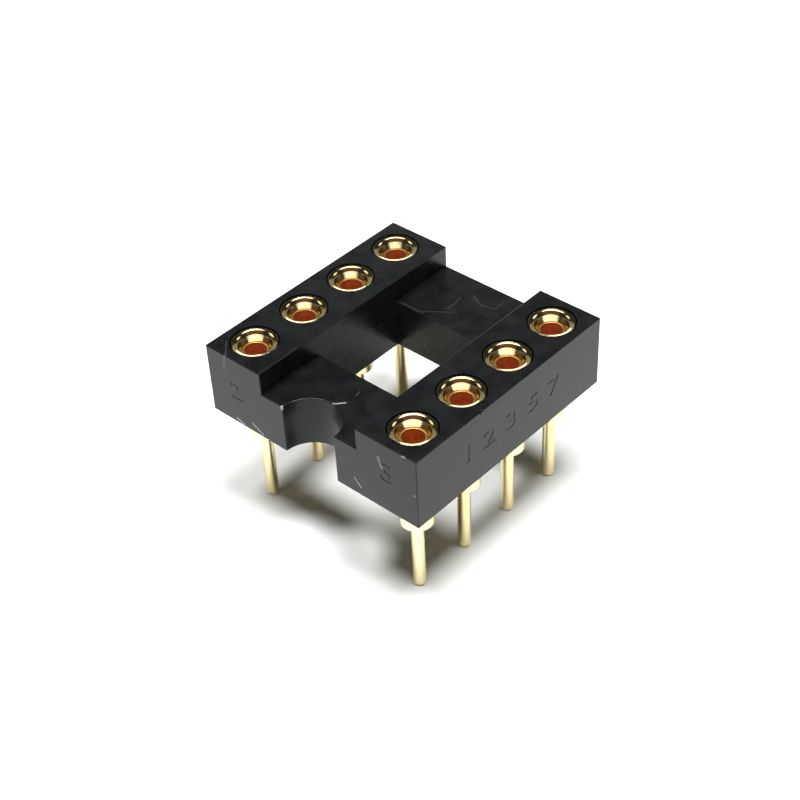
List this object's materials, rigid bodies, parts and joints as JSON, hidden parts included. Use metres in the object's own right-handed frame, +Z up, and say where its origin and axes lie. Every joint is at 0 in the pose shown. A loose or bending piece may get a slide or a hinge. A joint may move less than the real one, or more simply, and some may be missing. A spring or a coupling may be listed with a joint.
{
  "type": "ic socket",
  "caption": "Square black dual in-line socket with two rows of gold turned contacts on solder tails, a centre window and an end notch.",
  "frame": {"origin": "middle of the socket, level with the tips of the solder tails", "axes": "+Z up out of the contact mouths, +Y along the rows away from the notched end, X across the two rows"},
  "size_m": [0.0102, 0.0102, 0.0074],
  "materials": {
    "housing_plastic": "satin moulded black, glass filled",
    "sleeve_gold": "bright gold plate over turned brass",
    "clip_gold": "gold plate over pressed copper alloy"
  },
  "bodies": {
    "root": {"housing": "housing_plastic", "pin_sleeve_1": "sleeve_gold", "pin_sleeve_2": "sleeve_gold", "pin_sleeve_3": "sleeve_gold", "pin_sleeve_4": "sleeve_gold", "pin_sleeve_5": "sleeve_gold", "pin_sleeve_6": "sleeve_gold", "pin_sleeve_7": "sleeve_gold", "pin_sleeve_8": "sleeve_gold", "contact_clip_1": "clip_gold", "contact_clip_2": "clip_gold", "contact_clip_3": "clip_gold", "contact_clip_4": "clip_gold", "contact_clip_5": "clip_gold", "contact_clip_6": "clip_gold", "contact_clip_7": "clip_gold", "contact_clip_8": "clip_gold"}
  },
  "joints": []
}
